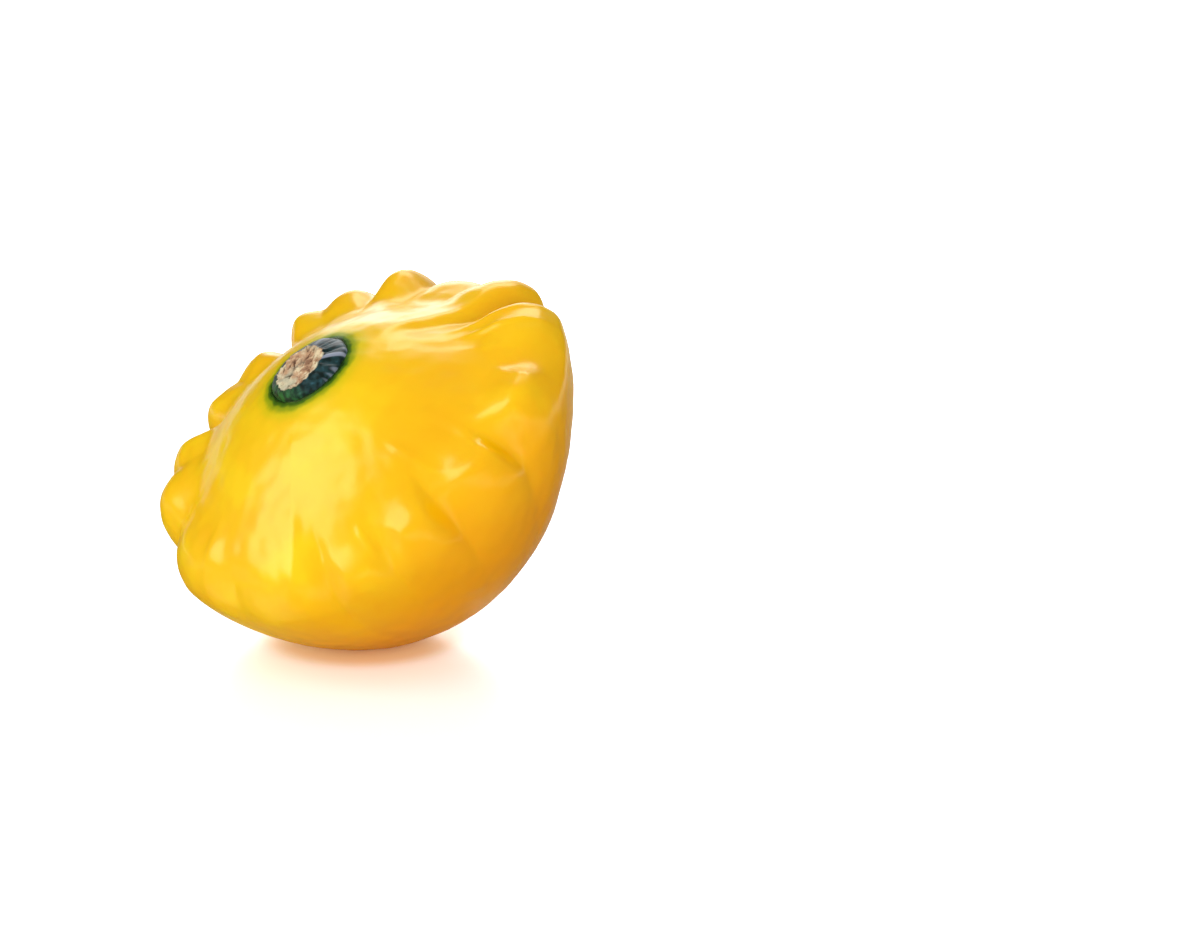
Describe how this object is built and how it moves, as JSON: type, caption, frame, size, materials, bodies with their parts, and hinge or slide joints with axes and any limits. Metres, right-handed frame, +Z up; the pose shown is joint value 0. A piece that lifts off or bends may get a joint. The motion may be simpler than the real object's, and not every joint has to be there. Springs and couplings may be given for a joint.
{
  "type": "pattypan squash",
  "caption": "Round yellow summer squash with a scalloped rim and the cut stub of its stalk, lying tipped on its blossom side.",
  "frame": {"origin": "on the surface that the fruit lies on, below the middle of its bounding box", "axes": "+Z up, -Y towards the side that shows the stalk, +X to the right of that view; the stalk leans 35 degrees from +Z, towards -X and a little towards -Y"},
  "size_m": [0.103, 0.1058, 0.085],
  "materials": {
    "waxy_skin": "Smooth waxy yellow rind, glossy, a little translucent, greener round the stalk and orange in the shade",
    "corky_stalk": "Dark blue-green ridged collar with a dry, cracked, tan cut face"
  },
  "bodies": {
    "root": {"squash_fruit": "waxy_skin", "stem_stub": "corky_stalk"}
  },
  "joints": []
}
